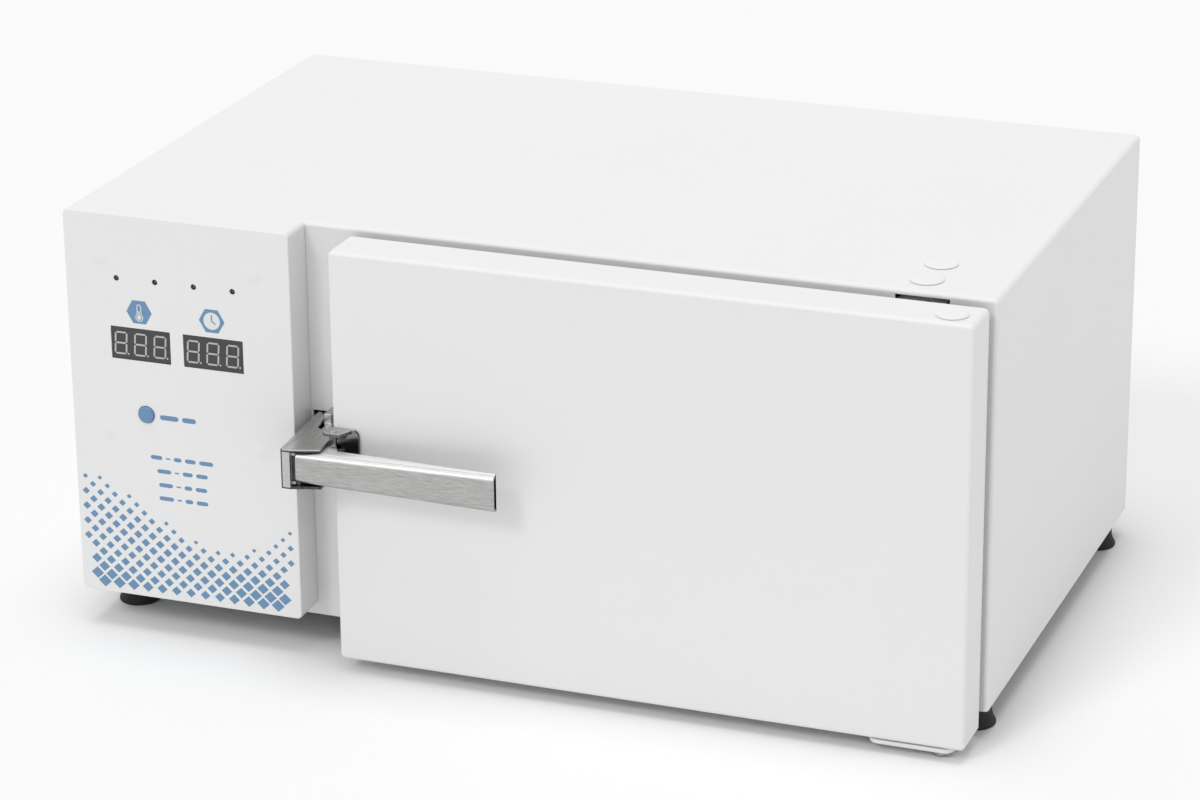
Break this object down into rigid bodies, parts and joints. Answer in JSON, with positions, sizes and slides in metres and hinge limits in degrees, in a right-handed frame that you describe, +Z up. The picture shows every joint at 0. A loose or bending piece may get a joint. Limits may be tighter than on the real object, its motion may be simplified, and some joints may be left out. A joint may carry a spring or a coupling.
{
  "type": "dry heat sterilizer",
  "caption": "Bench-top dry heat sterilizer: white sheet-steel case, heated steel chamber behind a side-hinged door with a lever latch, and a raised control panel at the left.",
  "frame": {"origin": "middle of the footprint, on the plane that the four feet stand on", "axes": "+X to the right seen from the front, +Y to the rear, +Z up"},
  "size_m": [0.55, 0.385, 0.2617],
  "materials": {
    "white_paint": "satin powder coat",
    "brushed_steel": "brushed",
    "liner_steel": "fine brushed",
    "zinc_steel": "zinc plated",
    "black_rubber": "matte",
    "gray_rubber": "matte silicone",
    "dark_display": "satin window",
    "blue_plastic": "satin",
    "clear_plastic": "clear dome",
    "black_plastic": "fine texture",
    "green_board": "solder mask",
    "stone_wool": "matte fibre",
    "white_plastic": "satin",
    "copper_winding": "enamelled wire"
  },
  "bodies": {
    "case": {"casing": "white_paint", "rear_cover": "white_paint", "base_pan": "zinc_steel", "control_panel": "white_paint", "display_board": "green_board", "temperature_display": "dark_display", "time_display": "dark_display", "tact_switch": "black_plastic", "chamber_liner": "liner_steel", "chamber_insulation": "stone_wool", "lower_heater": "zinc_steel", "upper_heater": "zinc_steel", "temperature_probe": "brushed_steel", "overheat_switch": "black_plastic", "left_rail": "liner_steel", "right_rail": "liner_steel", "bulkhead": "zinc_steel", "control_board": "green_board", "heater_relay": "black_plastic", "transformer_core": "zinc_steel", "transformer_coil": "copper_winding", "power_inlet": "black_plastic", "power_switch_body": "black_plastic", "upper_hinge_arm": "white_paint", "upper_pivot_pin": "zinc_steel", "lower_hinge_plate": "white_paint", "lower_pivot_pin": "zinc_steel", "thrust_washer": "zinc_steel", "case_cap_1": "white_plastic", "case_cap_2": "white_plastic", "latch_keeper": "brushed_steel", "rear_screw_1": "zinc_steel", "foot_1": "black_rubber", "indicator_light_1": "clear_plastic", "rear_screw_2": "zinc_steel", "foot_2": "black_rubber", "indicator_light_2": "clear_plastic", "rear_screw_3": "zinc_steel", "foot_3": "black_rubber", "indicator_light_3": "clear_plastic", "rear_screw_4": "zinc_steel", "foot_4": "black_rubber", "indicator_light_4": "clear_plastic"},
    "door": {"door_shell": "white_paint", "door_insulation": "stone_wool", "door_inner_panel": "liner_steel", "door_gasket": "gray_rubber", "upper_pivot_bush": "zinc_steel", "lower_pivot_bush": "zinc_steel", "door_cap": "white_plastic", "latch_base": "brushed_steel", "lever_pin": "brushed_steel"},
    "lever": {"latch_lever": "brushed_steel"},
    "hook": {"latch_link": "brushed_steel", "link_pin": "brushed_steel"},
    "program_button": {"program_button": "blue_plastic"},
    "switch_rocker": {"power_switch_rocker": "black_plastic"},
    "lower_tray": {"lower_tray": "liner_steel"},
    "upper_tray": {"upper_tray": "liner_steel"},
    "fuse_drawer": {"fuse_drawer": "black_plastic"}
  },
  "joints": [
    {"name": "door_hinge", "type": "hinge", "parent": "case", "child": "door", "pos_m": [0.256, -0.1535, 0.1325], "axis": [0, 0, 1], "range_deg": [0, 95]},
    {"name": "lever_pivot", "type": "hinge", "parent": "door", "child": "lever", "pos_m": [-0.108, -0.1745, 0.134], "axis": [0, 0, -1], "range_deg": [0, 60]},
    {"name": "hook_pivot", "type": "hinge", "parent": "lever", "child": "hook", "pos_m": [-0.116, -0.186, 0.134], "axis": [0, 0, 1], "range_deg": [0, 60]},
    {"name": "program_button_press", "type": "slide", "parent": "case", "child": "program_button", "axis": [0, 1, 0], "range_m": [0, 0.0012], "stiffness_N_per_m": 400},
    {"name": "switch_rocker_tilt", "type": "hinge", "parent": "case", "child": "switch_rocker", "pos_m": [-0.15, 0.1841, 0.0795], "axis": [1, 0, 0], "range_deg": [-6, 6]},
    {"name": "lower_tray_slide", "type": "slide", "parent": "case", "child": "lower_tray", "axis": [0, -1, 0], "range_m": [0, 0.012]},
    {"name": "upper_tray_slide", "type": "slide", "parent": "case", "child": "upper_tray", "axis": [0, -1, 0], "range_m": [0, 0.012]},
    {"name": "fuse_drawer_slide", "type": "slide", "parent": "case", "child": "fuse_drawer", "axis": [0, 1, 0], "range_m": [0, 0.018]}
  ],
  "couplings": [
    {"joint": "hook_pivot", "follows": "lever_pivot", "ratio": 0.93}
  ]
}
